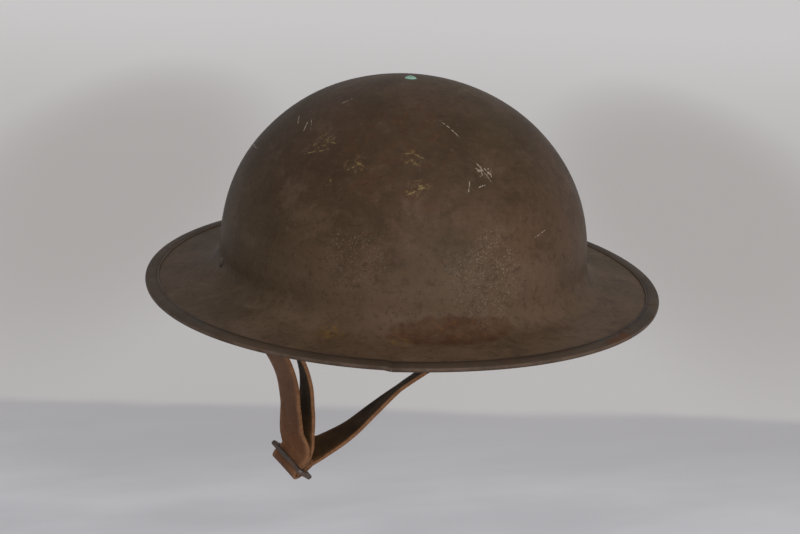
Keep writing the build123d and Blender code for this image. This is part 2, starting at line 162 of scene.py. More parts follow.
def placeMesh(piece, matrix):
    piece.data.transform(matrix)
    piece.data.update()


def axesAt(x, y, z, place):
    # The matrix with these three axes at a place
    return Matrix(list(zip((*x, 0), (*y, 0), (*z, 0), (*place, 1))))


def spinProfile(name, points, steps, sweep=turn, bearing=0.0, closed=True):
    # A flat profile of (radius, height) points is swept round Z
    piece = add(name, addCircle, vertices=len(points), radius=0.01, fill_type="NOTHING")
    for vertex, (radius, height) in zip(piece.data.vertices, points):
        vertex.co = (radius * math.cos(bearing), radius * math.sin(bearing), height)
    edit(piece)
    if not closed:
        mesh = bmesh.from_edit_mesh(piece.data)
        mesh.verts.ensure_lookup_table()
        mesh.edges.remove(mesh.edges.get((mesh.verts[0], mesh.verts[-1])))
        bmesh.update_edit_mesh(piece.data)
    bpy.ops.mesh.select_all(action="SELECT")
    bpy.ops.mesh.spin(steps=steps, angle=sweep, center=(0, 0, 0), axis=(0, 0, 1))
    bpy.ops.mesh.select_all(action="SELECT")
    bpy.ops.mesh.remove_doubles(threshold=0.00002)
    if sweep < turn:
        bpy.ops.mesh.select_all(action="DESELECT")
        bpy.ops.mesh.select_non_manifold(extend=False)
        bpy.ops.mesh.edge_face_add()
    faceOutwards()
    return piece


def finishPiece(piece, finish, slotName, *nodes, body="helmet"):
    if finish:
        piece.data.materials.append(finishes[finish])
    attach(piece, body)
    if nodes:
        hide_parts(*nodes)


# Shader helpers

def sumOf(operation, swapped=False):
    def made(wire, other):
        return wire.math(operation, *((other, wire) if swapped else (wire, other)))

    return made


class Wire:
    # A node's output, on which sums are written as sums
    __add__ = __radd__ = sumOf("ADD")
    __sub__ = sumOf("SUBTRACT")
    __rsub__ = sumOf("SUBTRACT", True)
    __mul__ = __rmul__ = sumOf("MULTIPLY")
    __truediv__ = sumOf("DIVIDE")
    __pow__ = sumOf("POWER")
    larger = sumOf("MAXIMUM")

    def __init__(self, finish, socket):
        self.finish = finish
        self.socket = socket

    def math(self, operation, *values):
        return self.finish.node("Math", dict(enumerate(values)), operation=operation)

    def clamped(self):
        return self.finish.node("Clamp", {"Value": self})

    def sine(self):
        return self.math("SINE", self)

    def absolute(self):
        return self.math("ABSOLUTE", self)

    def step(self, low, high):
        # 0 below low, 1 above high, smooth between
        values = {"Value": self, "From Min": low, "From Max": high}
        return self.finish.node("MapRange", values, interpolation_type="SMOOTHSTEP")

    def parts(self):
        node = self.finish.node("SeparateXYZ", {0: self}).socket.node
        return [Wire(self.finish, socket) for socket in node.outputs]


class Finish:
    def __init__(self, name, roughness, metallic=0.0, specular=0.5):
        self.material = bpy.data.materials.new(name)
        self.material.use_nodes = True
        self.tree = self.material.node_tree
        self.inputs = self.tree.nodes["Principled BSDF"].inputs
        self.inputs["Roughness"].default_value = roughness
        self.inputs["Metallic"].default_value = metallic
        self.inputs["Specular IOR Level"].default_value = specular
        self.place = self.node("TexCoord", {}, "Object")
        self.colour = None
        self.normal = None

    def node(self, kind, values, output=0, **settings):
        made = self.tree.nodes.new("ShaderNode" + kind)
        for key, value in settings.items():
            setattr(made, key, value)
        for key, value in values.items():
            socket = made.inputs[key]
            if isinstance(value, Wire):
                self.tree.links.new(value.socket, socket)
            else:
                socket.default_value = (*value, 1) if socket.type == "RGBA" else value
        return Wire(self, made.outputs[output])

    def scaled(self, factors, where=None):
        return self.node("Mapping", {"Vector": where or self.place, "Scale": factors})

    def noise(self, scale, detail, rough=0.55, warp=0.0, where=None):
        values = {"Vector": where or self.place, "Scale": scale, "Detail": detail}
        return self.node("TexNoise", {**values, "Roughness": rough, "Distortion": warp})

    def cells(self, scale, feature="F1"):
        return self.node("TexVoronoi", {"Vector": self.place, "Scale": scale}, feature=feature)

    def blend(self, share, first, second):
        return self.node("Mix", {0: share, 6: first, 7: second}, 2, data_type="RGBA")

    def base(self, share, first, second):
        self.colour = self.blend(share, first, second)

    def over(self, share, colour):
        # The finish's colour gives way to another one by that share
        self.base(share, self.colour, colour)

    def near(self, centre, radius, ragged, scale):
        # 1 at the centre, 0 past a ragged edge
        gap = self.measured("DISTANCE", centre)
        edge = gap / radius + (self.noise(scale, 5) - 0.5) * (2 * ragged)
        return 1 - edge.step(0.55, 1.0)

    def along(self, direction):
        return self.measured("DOT_PRODUCT", direction)

    def measured(self, operation, other):
        values = {0: self.place, 1: tuple(other)}
        return self.node("VectorMath", values, 1, operation=operation)

    def ovalRadius(self):
        # The distance from the upright axis, in the shell's own oval
        x, y, z = self.place.parts()
        return (x * x + y * y * (1 / oval**2)) ** 0.5

    def bump(self, height, distance, strength):
        values = {"Height": height, "Distance": distance, "Strength": strength}
        if self.normal:
            values["Normal"] = self.normal
        self.normal = self.node("Bump", values)

    def made(self, roughness=None, metallic=None):
        # Everything is wired to the shader, and the material is ready
        names = ("Base Color", "Roughness", "Metallic", "Normal")
        for name, wire in zip(names, (self.colour, roughness, metallic, self.normal)):
            if wire:
                self.tree.links.new(wire.socket, self.inputs[name])
        return self.material


# View, light and floor

viewAzimuth = math.radians(-16.0)
viewElevation = math.radians(17.54)
viewRoll = math.radians(2.55)
viewDistance = 1.054
floorHeight = -0.45


def addCamera():
    data = bpy.data.cameras.new("photoCamera")
    data.lens, data.sensor_width = 83.03, 36
    data.shift_x, data.shift_y = -0.0022, 0.013
    data.clip_start = 0.01
    camera = bpy.data.objects.new("photoCamera", data)
    camera.matrix_world = (
        Matrix.Translation((0, 0, rim))
        @ Matrix.Rotation(viewAzimuth, 4, "Z")
        @ Matrix.Rotation(math.pi / 2 - viewElevation, 4, "X")
        @ Matrix.Rotation(viewRoll, 4, "Z")
        @ Matrix.Translation((0, 0, viewDistance))
    )
    link(camera)
    bpy.context.scene.camera = camera


def addFloor(edge=0.715, blur=0.015):
    # A pale floor, lighter past an edge far behind the helmet and lighter still further back
    # as painted light, with a painted soft shadow to each side
    floor = add("paleFloor", addCircle, vertices=96, radius=9.0, fill_type="NGON")
    floor.location.z = floorHeight
    finish = Finish("paleFloor", roughness=0.95, specular=0.1)
    depth = finish.along((-math.sin(viewAzimuth), math.cos(viewAzimuth), 0))
    across = finish.along((math.cos(viewAzimuth), math.sin(viewAzimuth), 0))
    softness = (finish.noise(5.0, 2) - 0.5) * 0.04
    beyond = (depth + softness - across * 0.04).step(edge - blur, edge + blur)
    # Painted shade and light of soft cloth folds on the near part
    foldShade = finish.noise(1.0, 3, where=finish.scaled((3, 9, 1)))
    near = finish.blend(foldShade.step(0.3, 0.7), (0.58, 0.57, 0.59), (0.68, 0.67, 0.69))
    near = finish.blend(depth.step(0.45, 0.7) * 0.8, near, (0.5, 0.485, 0.49))
    # Painted light: the far part grows lighter with distance
    far = finish.blend(depth.step(1.6, 3.2), (0.67, 0.645, 0.63), (0.8, 0.775, 0.765))
    for side in (-1, 1):
        reach = ((depth - 1.6) / 0.85) ** 2 + ((across - side * 0.42) / 0.24) ** 2
        far = finish.blend((1 - reach.step(0.1, 1.3)) * 0.55, far, (0.46, 0.43, 0.41))
    finish.base(beyond, near, far)
    floor.data.materials.append(finish.made())


def addSun(name, spot, energy, degrees):
    # The sun shines from the spot to the origin
    data = bpy.data.lights.new(name, "SUN")
    data.energy = energy
    data.angle = math.radians(degrees)
    lamp = bpy.data.objects.new(name, data)
    lamp.location = spot
    lamp.rotation_euler = (-Vector(spot)).to_track_quat("-Z", "Y").to_euler()
    link(lamp)


addCamera()
addFloor()
addSun("keySun", (0.15, -2.0, 0.5), 1.65, 45)
addSun("topSun", (0.5, -0.9, 2.4), 0.62, 60)
world = bpy.data.worlds.new("softRoom")
world.use_nodes = True
background = world.node_tree.nodes["Background"].inputs
background["Color"].default_value = (0.8, 0.81, 0.83, 1)
background["Strength"].default_value = 0.52
bpy.context.scene.world = world
bpy.context.scene.view_settings.view_transform = "Standard"
print("camera, floor and light are set")


# Shape of the shell, shared by the pieces on it

def crownRadius(height):
    share = max(height - springHeight, 0) / crownRise
    return crownHalfWidth * (1 - share**fullness) ** (1 / fullness)


def brimTop(radius):
    return rootHeight - (radius - crownHalfWidth) * math.tan(slope)


def shellProfile(crownSteps=34, bendSteps=8, brimSteps=8):
    # Outer face from the crown's top to the edge of the brim
    centreRadius = crownHalfWidth + bendRadius
    centreHeight = brimTop(centreRadius) + bendRadius / math.cos(slope)
    points = []
    for index in range(crownSteps + 1):
        angle = math.pi / 2 * (1 - index / crownSteps)
        across = max(math.cos(angle), 0) ** (2 / fullness)
        up = max(math.sin(angle), 0) ** (2 / fullness)
        height = springHeight + crownRise * up
        points.append((crownHalfWidth * across, height))
    stop = 1.5 * math.pi - slope
    for index in range(bendSteps + 1):
        angle = math.pi + (stop - math.pi) * index / bendSteps
        radius = centreRadius + bendRadius * math.cos(angle)
        points.append((radius, centreHeight + bendRadius * math.sin(angle)))
    edge = brimHalfWidth - stripWall - stripFit
    foot = points[-1][0]
    for index in range(1, brimSteps + 1):
        radius = foot + (edge - foot) * index / brimSteps
        points.append((radius, brimTop(radius)))
    points[0] = (0.00001, crownHeight)
    return [(radius, height + rim) for radius, height in points]


def unevenness(spot):
    # The slight dents of the crown, and the brim's droop to its left and right
    radius = math.hypot(spot.x, spot.y / oval)
    height = spot.z - rim
    brimShare = (radius - crownHalfWidth) / (brimHalfWidth - crownHalfWidth)
    crownShare = min(max((height - 0.024) / 0.02, 0), 1)
    bearing = math.atan2(spot.y, spot.x)
    lift = -min(max(brimShare, 0), 1) * brimDroop * math.cos(2 * bearing)
    push = crownShare * dent * noise.noise(spot * 22)
    outward = Vector((spot.x, spot.y, max(height, 0))).normalized()
    return Vector((0, 0, lift)) + outward * push


def ovalPoint(bearing, radius, height):
    angle = math.radians(bearing)
    place = (radius * math.cos(angle), radius * math.sin(angle) * oval, height + rim)
    return Vector(place)


def onCrown(bearing, height):
    return ovalPoint(bearing, crownRadius(height), height)


def onBrim(bearing, radius):
    return ovalPoint(bearing, radius, brimTop(radius))


# Wear of the shell. Bearings are in degrees, 90 at the back and -90 at the front, heights are
# above the rim; scratches also have their lean in radians and their length
ochreSmudges = [
    (-104, 0.0885, 0.0075),
    (-103, 0.0755, 0.0065),
    (-127, 0.0840, 0.0065),
    (-145, 0.0910, 0.0075),
    (-136, 0.0740, 0.0045),
]
ochreStrokes = [
    (-147, 0.0860, 0.50, 0.013),
    (-144, 0.0920, -0.10, 0.013),
    (-127, 0.0830, 0.55, 0.009),
    (-126, 0.0845, -0.45, 0.009),
    (-104, 0.0900, -0.35, 0.013),
    (-103, 0.0750, 0.35, 0.011),
    (-101, 0.0770, 0.10, 0.008),
]
metalScratches = [
    (-161, 0.0955, -0.75, 0.011),
    (-163, 0.0940, -0.95, 0.008),
    (-173, 0.0950, -0.65, 0.008),
    (-157, 0.1070, 1.35, 0.008),
    (-84, 0.1010, -1.15, 0.016),
    (-76, 0.0825, -1.15, 0.013),
    (-78, 0.0830, -0.90, 0.006),
    (-74, 0.0800, 1.40, 0.006),
    (-84, 0.0765, 1.35, 0.007),
    (-79, 0.0765, 0.30, 0.005),
    (-60, 0.0500, 0.20, 0.010),
    (20, 0.0600, 0.70, 0.022),
    (75, 0.0700, -0.40, 0.019),
    (130, 0.0450, 1.20, 0.024),
    (170, 0.0750, 0.10, 0.016),
]


# Finishes

def largest(masks):
    whole = masks[0]
    for mask in masks[1:]:
        whole = whole.larger(mask)
    return whole


def scratchLines(finish, marks, spread, width):
    lines = []
    for bearing, height, lean, length in marks:
        spot = onCrown(bearing, height)
        normal = Vector((spot.x, spot.y, (spot.z - rim) * 0.9)).normalized()
        side = normal.cross(Vector((0, 0, 1))).normalized()
        direction = side * math.cos(lean) + normal.cross(side) * math.sin(lean)
        across = normal.cross(direction)
        offset = finish.along(across) - spot.dot(across) + spread
        reach = finish.along(direction) - spot.dot(direction)
        outwards = finish.along(normal) - spot.dot(normal)
        thin = 1 - offset.absolute().step(width * 0.25, width)
        held = 1 - reach.absolute().step(length * 0.38, length * 0.52)
        lines.append(thin * held * outwards.step(-0.02, -0.015))
    return largest(lines)


def shellPaint():
    brown, olive = (0.09, 0.052, 0.03), (0.064, 0.045, 0.02)
    dustAndPaintedLight, dark = (0.128, 0.081, 0.052), (0.04, 0.022, 0.012)
    rustBrown, orange = (0.062, 0.028, 0.014), (0.13, 0.055, 0.016)
    ochre, smear = (0.24, 0.175, 0.07), (0.145, 0.078, 0.018)
    bareMetalAndGlint, pitBlack = (0.42, 0.35, 0.27), (0.024, 0.013, 0.008)
    finish = Finish("wornShellPaint", roughness=0.5, specular=0.1)
    over, noisy = finish.over, finish.noise
    z = finish.place.parts()[2]
    radius = finish.ovalRadius()
    broad = noisy(13, 5, 0.62, 0.5)
    middle = noisy(48, 6, 0.68, 0.3)
    fine = noisy(420, 4, 0.6)
    grit = noisy(1500, 3, 0.7)
    # Brown over olive; the bend at the front is lightened with the dust colour as painted
    # light, and the top and both sides are darkened as painted shade
    finish.base(broad.step(0.4, 0.62) * 0.75, brown, olive)
    over(finish.near(onCrown(-160, 0.034), 0.048, 0.35, 30) * 0.6, olive)
    # Painted light: the low front of the crown and its bend are lightened
    low = 1 - (z - (rim + 0.022)).absolute().step(0.0, 0.03)
    front = finish.along((-0.1, -0.99, 0)).step(0.02, 0.1)
    over(low * front * (0.35 + middle * 0.6), dustAndPaintedLight)
    # Painted shade: the top and the left side are darkened
    upper = (z + (broad - 0.5) * 0.06).step(rim + 0.035, rim + 0.085)
    left = (finish.along((-0.89, -0.25, 0.38)) + (broad - 0.5) * 0.06).step(-0.02, 0.09)
    over((upper * 0.42 + left * 0.35).clamped(), dark)
    crownOnly = 1 - radius.step(0.1045, 0.112)
    # Painted shade: the right side of the crown is darkened
    right = (finish.along((0.93, -0.27, 0.25)) + (broad - 0.5) * 0.04).step(0.03, 0.105)
    over(right * crownOnly * 0.35, dark)
    over(finish.near(onBrim(-138, 0.126), 0.03, 0.5, 40) * 0.45, dustAndPaintedLight)
    over(middle.step(0.48, 0.66) * (1 - low * front * 0.6) * 0.55, dark)
    over((0.5 - middle).step(0.03, 0.2) * 0.35, dustAndPaintedLight)
    # Rust on the brim's front, round the crown's top and in pinpricks. The patch runs down
    # from the bend, so its depth is measured along that slope
    across = (finish.along((0.9986, -0.0523, 0)) - 0.004) / 0.034
    depth = (radius - z + (rim - 0.103)) / 0.015
    ragged = (middle - 0.5) * 1.8 + (broad - 0.5) * 1.0
    patch = 1 - (across**2 + depth**2 + ragged).step(0.65, 1.1)
    patch = patch * finish.along((0, -1, 0)).step(0.06, 0.07)
    patch = patch * (0.6 + noisy(110, 6, 0.7).step(0.4, 0.6) * 0.4)
    topRust = finish.near(onCrown(-112, 0.094), 0.045, 0.6, 50)
    topRust = topRust * noisy(150, 5).step(0.45, 0.65)
    rust = patch.larger(topRust * 0.5).larger(noisy(300, 5, 0.7).step(0.6, 0.68) * 0.55)
    over(rust, rustBrown)
    over(rust * noisy(210, 5, 0.7).step(0.52, 0.66) * 0.45, orange)
    smears = finish.near(onBrim(-125, 0.114), 0.0085, 0.7, 120)
    smears = smears.larger(finish.near(onBrim(-106, 0.117), 0.006, 0.7, 120))
    over(smears * noisy(260, 4).step(0.35, 0.65) * 0.6, smear)
    # Scuffs: thin strokes with a faint smudge round them
    smudges = [finish.near(onCrown(*place), size, 0.9, 170) for *place, size in ochreSmudges]
    over(largest(smudges) * noisy(420, 5, 0.75).step(0.5, 0.66) * 0.45, ochre)
    wobble = (noisy(75, 3) - 0.5) * 0.006
    broken = noisy(520, 3, 0.6).step(0.42, 0.56)
    strokes = scratchLines(finish, ochreStrokes, wobble, 0.00055)
    over(strokes * broken * 0.65, ochre)
    lines = scratchLines(finish, metalScratches, wobble * 0.6, 0.00042)
    chips = finish.near(onCrown(-76, 0.0825), 0.0048, 0.9, 420)
    chips = chips * noisy(800, 3).step(0.55, 0.62)
    over((lines * broken).larger(chips) * 0.8, bareMetalAndGlint)
    # Painted glints and a painted sheen in the colour of bared metal where the front catches
    # the light, a few specks of it elsewhere, and dark pits
    glintZones = finish.near(onCrown(-80, 0.034), 0.029, 0.6, 70)
    glintZones = glintZones.larger(finish.near(onCrown(-120, 0.041), 0.022, 0.6, 70) * 0.6)
    dots = 1 - finish.cells(900).step(0.1, 0.22)
    sparse = noisy(300, 2).step(0.52, 0.6)
    # Painted glints: bare-metal specks, dense in the zones where the light catches
    over(dots * sparse * (glintZones * 0.75 + 0.06).clamped(), bareMetalAndGlint)
    over(glintZones * noisy(1000, 4, 0.7).step(0.52, 0.66) * 0.2, bareMetalAndGlint)
    pits = 1 - finish.cells(520).step(0.08, 0.2)
    over(pits * noisy(160, 3).step(0.48, 0.6) * 0.55, pitBlack)
    grime = noisy(230, 6, 0.78, 0.4)
    over(grime.step(0.53, 0.6) * 0.4, dark)
    over((0.47 - grime).step(0.02, 0.12) * 0.2, dustAndPaintedLight)
    # Fine level rubbing, which shows most on the crown's upper half
    rubbing = noisy(1.0, 5, 0.7, 0.6, finish.scaled((160, 160, 620)))
    over(rubbing.step(0.56, 0.74) * 0.3, dustAndPaintedLight)
    over((0.46 - rubbing).step(0.02, 0.18) * 0.35, pitBlack)
    # Painted shade and dirt along the inner edge of the rim strip
    groove = 1 - (radius - 0.1372).absolute().step(0.0001, 0.0006)
    over(groove * 0.45, pitBlack)
    finish.bump(fine, 0.00012, 0.5)
    finish.bump(grit, 0.00008, 0.6)
    finish.bump(rust * noisy(600, 4), 0.0002, 0.6)
    roughness = 0.5 + (broad - 0.5) * 0.25 + rust * 0.2 + (fine - 0.5) * 0.2
    return finish.made((roughness - glintZones * 0.08).clamped())


def rimPaint():
    finish = Finish("rustyRimPaint", roughness=0.55, specular=0.1)
    broad = finish.noise(26, 5, 0.65)
    fine = finish.noise(500, 5, 0.65)
    right = finish.near(onBrim(-44, 0.142), 0.05, 0.5, 60)
    rust = (finish.noise(70, 6, 0.7).step(0.5, 0.68) * (right * 0.8 + 0.25)).clamped()
    darkPaint, brownPaint = (0.042, 0.028, 0.018), (0.066, 0.043, 0.028)
    finish.base(broad.step(0.35, 0.65), darkPaint, brownPaint)
    finish.over(rust, (0.088, 0.036, 0.018))
    radius = finish.ovalRadius()
    # The inner edge is rubbed bright with a painted highlight, and a band of dirt and painted
    # shade lies beside it
    shadeAndDirt = 1 - (radius - 0.1388).absolute().step(0.0003, 0.0012)
    finish.over(shadeAndDirt * 0.35, (0.018, 0.011, 0.007))
    rubbedAndHighlight = 1 - (radius - 0.1375).absolute().step(0.0002, 0.0006)
    finish.over(rubbedAndHighlight * 0.4, (0.19, 0.135, 0.1))
    # The nose is worn lighter, which also paints a highlight along it
    nose = (radius - 0.14465).step(0.0, 0.0003)
    worn = nose * (0.15 + finish.noise(60, 5, 0.7).step(0.4, 0.62) * 0.45)
    finish.over(worn, (0.14, 0.095, 0.07))
    finish.bump(fine, 0.00015, 0.6)
    finish.bump(rust * finish.noise(900, 4), 0.0002, 0.7)
    return finish.made((0.5 + rust * 0.3 + (fine - 0.5) * 0.2).clamped())


def tarnishedCopper():
    finish = Finish("tarnishedCopper", roughness=0.55)
    fine = finish.noise(1800, 4)
    green = finish.noise(420, 5, 0.7).step(0.28, 0.5)
    finish.base(green, (0.18, 0.17, 0.12), (0.24, 0.43, 0.34))
    finish.over(fine.step(0.5, 0.75) * 0.5, (0.4, 0.6, 0.5))
    finish.bump(fine, 0.00008, 0.7)
    return finish.made(0.4 + green * 0.45, (1 - green) * 0.5)


def rustySteel(name, lightness=1.0):
    finish = Finish(name, roughness=0.55, metallic=0.5)
    patches = finish.noise(180, 6, 0.7, 0.5)
    fine = finish.noise(1400, 5, 0.7)
    rust = patches.step(0.42, 0.62)
    bright = Vector((0.1, 0.085, 0.075)) * lightness
    dull = Vector((0.05, 0.04, 0.035)) * lightness
    finish.base(fine, bright, dull)
    finish.over(rust * 0.85, (0.095, 0.042, 0.02))
    finish.over(fine.step(0.62, 0.8) * 0.5, (0.19, 0.1, 0.05))
    finish.bump(fine, 0.00012, 0.7)
    finish.bump(patches, 0.0003, 0.5)
    return finish.made(0.42 + rust * 0.4, (1 - rust) * 0.75)


def strapLeather(name, base, deep, light, roughness):
    # The strap's own map: U across, V along, in metres once scaled
    finish = Finish(name, roughness=roughness, specular=0.14)
    flat = finish.node("UVMap", {})
    grain = finish.cells(900, "DISTANCE_TO_EDGE")
    pores = finish.noise(1300, 4, 0.6)
    broad = finish.noise(38, 5, 0.6, where=finish.scaled((0.019, 0.46, 1), flat))
    cracks = finish.noise(220, 5, 0.7, 0.8, finish.scaled((0.012, 0.46, 1), flat))
    lines = 1 - (cracks - 0.5).absolute().step(0.008, 0.035)
    border = (flat.parts()[0] - 0.5).absolute().step(0.36, 0.48)
    finish.base(broad.step(0.34, 0.66), base, deep)
    finish.over(border * 0.6, light)
    finish.over(lines * 0.45, deep)
    finish.over(pores.step(0.6, 0.8) * 0.3, light)
    finish.bump(grain.step(0.0, 0.12), 0.00012, 0.5)
    finish.bump(pores, 0.0001, 0.5)
    finish.bump(1 - lines, 0.0003, 0.5)
    return finish.made((roughness + (broad - 0.5) * 0.3).clamped())


def wovenCloth(name, dark, light, roughness, threads, crack):
    finish = Finish(name, roughness=roughness)
    x, y, z = finish.place.parts()
    around = y.math("ARCTAN2", y, x) * 0.085
    weave = ((around * threads * 4).sine() * (z * threads * 4).sine()) * 0.5 + 0.5
    broad = finish.noise(30, 5, 0.65)
    worn = finish.noise(90, 6, 0.7).step(0.58, 0.72)
    finish.base(broad.step(0.3, 0.7), dark, light)
    finish.over(worn * crack, (0.16, 0.12, 0.085))
    finish.over(weave * 0.25, dark)
    finish.bump(weave, 0.00008, 0.5)
    finish.bump(finish.noise(120, 5, 0.6, 1.0), 0.0006, 0.5)
    return finish.made((roughness + worn * 0.3 + (broad - 0.5) * 0.2).clamped())


def woolFelt():
    finish = Finish("woolFelt", roughness=0.95, specular=0.2)
    fuzz = finish.noise(900, 8, 0.8, 1.5)
    clumps = finish.noise(140, 5, 0.7).step(0.3, 0.7)
    finish.base(clumps, (0.16, 0.13, 0.1), (0.27, 0.23, 0.18))
    finish.over(fuzz.step(0.5, 0.75) * 0.5, (0.38, 0.33, 0.27))
    finish.bump(fuzz, 0.0005, 0.8)
    return finish.made()


def cottonTwine(name, pale, dirty):
    finish = Finish(name, roughness=0.9, specular=0.25)
    values = {"Vector": finish.place, "Scale": 420.0, "Distortion": 3.0, "Detail": 2.0}
    bands = {"wave_type": "BANDS", "bands_direction": "DIAGONAL"}
    strands = finish.node("TexWave", values, **bands)
    grime = finish.noise(35, 5, 0.65).step(0.35, 0.7)
    finish.base(grime, pale, dirty)
    finish.over((1 - strands) * 0.4, dirty)
    finish.bump(strands, 0.00035, 0.8)
    finish.bump(finish.noise(1600, 5, 0.7), 0.00015, 0.6)
    return finish.made()


def agedRubber():
    finish = Finish("agedRubber", roughness=0.75, specular=0.4)
    bloom = finish.noise(70, 6, 0.65)
    split = 1 - finish.cells(260, "DISTANCE_TO_EDGE").step(0.0, 0.05)
    black, dusty = (0.018, 0.016, 0.015), (0.07, 0.06, 0.05)
    finish.base(bloom.step(0.35, 0.7), black, dusty)
    finish.over(split * 0.6, (0.008, 0.007, 0.006))
    finish.bump(1 - split, 0.0003, 0.6)
    finish.bump(finish.noise(1200, 4), 0.00008, 0.6)
    return finish.made((0.6 + bloom * 0.3).clamped())


finishes = {
    "shell": shellPaint(),
    "rim": rimPaint(),
    "copper": tarnishedCopper(),
    "steel": rustySteel("rustyFittings"),
    "buckle": rustySteel("rustyBuckle", 1.25),
    "grain": strapLeather(
        "strapGrain", (0.175, 0.078, 0.036), (0.11, 0.046, 0.021), (0.24, 0.115, 0.055), 0.5
    ),
    "flesh": strapLeather(
        "strapFlesh", (0.1, 0.052, 0.019), (0.04, 0.02, 0.008), (0.19, 0.09, 0.038), 0.8
    ),
    "edge": strapLeather(
        "strapEdge", (0.2, 0.088, 0.038), (0.12, 0.05, 0.022), (0.27, 0.13, 0.06), 0.65
    ),
    "oilcloth": wovenCloth(
        "blackOilcloth", (0.012, 0.011, 0.01), (0.03, 0.027, 0.023), 0.42, 1500, 0.4
    ),
    "binding": wovenCloth(
        "cottonBinding", (0.045, 0.036, 0.026), (0.085, 0.068, 0.048), 0.85, 2200, 0.5
    ),
    "felt": woolFelt(),
    "twine": cottonTwine("netTwine", (0.42, 0.34, 0.23), (0.17, 0.125, 0.08)),
    "thread": cottonTwine("waxedThread", (0.3, 0.23, 0.15), (0.12, 0.085, 0.05)),
    "rubber": agedRubber(),
}
print("finishes are made")


# Shell and rim strip

seamBearing = math.radians(-108.0)
seamGap, seamStep, lapTurn = 0.00012, 0.0007, 0.35


def pressShell():
    shell = spinProfile("pressedShell", shellProfile(), 192, closed=False)
    edit(shell)
    bpy.ops.transform.resize(value=(1, oval, 1), center_override=(0, 0, 0))
    leave()
    middle = Vector((0, 0, rim))
    if sum(face.normal.dot(face.center - middle) for face in shell.data.polygons) < 0:
        shell.data.flip_normals()
    for vertex in shell.data.vertices:
        vertex.co = vertex.co + unevenness(vertex.co)
    thicken(shell, shellWall, -1).use_even_offset = True
    smooth(shell, 50)
    finishPiece(shell, "shell", "shell_paint", "shell")


def foldRimStrip(depth=0.0076, corner=0.0002, raggedness=0.00035):
    # The profile lies along the brim, its nose at the brim's edge
    inner = shellWall / 2 + stripFit
    outer = inner + stripWall
    nose = brimHalfWidth
    profile = [(corner - depth, outer)]
    for index in range(9):
        angle = math.pi / 2 - math.pi * index / 8
        profile.append((outer * 0.55 * (math.cos(angle) - 1), outer * math.sin(angle)))
    profile += [(corner - depth, -outer), (-depth, corner - outer), (-depth, -inner)]
    profile += [(-stripWall, -inner), (-stripWall, inner), (-depth, inner)]
    profile.append((-depth, outer - corner))
    middle = rim - shellWall / 2
    points = []
    for along, across in profile:
        radius = nose + along * math.cos(slope) + across * math.sin(slope)
        points.append((radius, middle - along * math.sin(slope) + across * math.cos(slope)))
    gap = seamGap / nose
    strip = spinProfile("rimStrip", points, 240, turn - gap, seamBearing + gap / 2)
    placeMesh(strip, Matrix.Diagonal((1, oval, 1, 1)))
    for vertex in strip.data.vertices:
        place = vertex.co.copy()
        angle = (math.atan2(place.y / oval, place.x) - seamBearing) % turn
        # One end of the strip stands lower than the other at the seam
        lap = max(0.0, 1 - angle / lapTurn)
        radius = math.hypot(place.x, place.y / oval)
        share = min(max(0.0, (nose - 0.006 - radius) / 0.0016), 1)
        ragged = noise.noise(Vector((math.cos(angle), math.sin(angle), 0)) * 9)
        inward = Vector((place.x, place.y, 0)).normalized() * ragged * raggedness * share
        drop = Vector((0, 0, lap * lap * seamStep))
        vertex.co = place + unevenness(place) + inward - drop
    smooth(strip, 50)
    finishPiece(strip, "rim", "rim_paint", "rim_bead")


pressShell()
foldRimStrip()
print("shell and rim strip are made")


# Lining: band, binding, buffers, crown strips and pad

bandLow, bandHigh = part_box("head_band")
bandThickness, bandEdge = 0.0016, 0.0003
bindingHeight, bindingThickness = 0.006, 0.0008
bufferRadius, bufferBore, bufferCount = 0.0069, 0.0038, 12
stripWidth, stripThickness = 0.034, 0.0013
domeRadius = 0.085
feltThickness = 0.0026
# How many stitches a seam has, their length and radius, and their lean in radians
bindingSeam = (110, 0.0034, 0.00028, 0.0)
netSeam = (60, 0.0046, 0.0006, 0.9)


def bandPoint(bearing, inset, height):
    along = (bandHigh.x - inset) * math.cos(bearing)
    return Vector((along, (bandHigh.y - inset) * math.sin(bearing), height))


def wrapBand(name, low, high, outer, inner, rows):
    # An upright oval ring, its profile rounded at the top and bottom
    width = bandHigh.x
    crest = width - (outer + inner) / 2
    points = [(width - outer, low + (high - low) * row / rows) for row in range(rows + 1)]
    points.append((crest, high + bandEdge))
    points += [(width - inner, high + (low - high) * row / rows) for row in range(rows + 1)]
    points.append((crest, low - bandEdge))
    ring = spinProfile(name, points, 144)
    for vertex in ring.data.vertices:
        place = vertex.co
        bearing = math.atan2(place.y, place.x)
        vertex.co = bandPoint(bearing, width - math.hypot(place.x, place.y), place.z)
    return ring


def makeHeadBand():
    low, high = bandLow.z + bandEdge, bandHigh.z - bandEdge
    band = wrapBand("oilclothBand", low, high, 0.0, bandThickness, 10)
    for vertex in band.data.vertices:
        place = vertex.co
        share = (place.z - bandLow.z) / (bandHigh.z - bandLow.z)
        wave = noise.noise(Vector((place.x * 30, place.y * 30, place.z * 18)))
        ripple = wave * 0.0006 * share
        inward = Vector((place.x, place.y, 0)).normalized() * (-abs(ripple) * 0.8)
        vertex.co = place + inward + Vector((0, 0, ripple * 0.4))
    roundEdges(band, bandEdge)
    smooth(band, 50)
    finishPiece(band, "oilcloth", "oilcloth", "head_band")


def makeStitch(name, length, radius):
    # One stitch: a short thread whose ends dip into the cloth
    stitch = add(name, addCylinder, vertices=6, radius=radius, depth=length)
    edit(stitch)
    selectCaps(stitch)
    bpy.ops.mesh.inset(thickness=radius * 0.45)
    leave()
    for vertex in stitch.data.vertices:
        share = abs(vertex.co.z) / (length / 2)
        vertex.co.x -= radius * 1.3 * share * share
    smooth(stitch, 70)
    return stitch


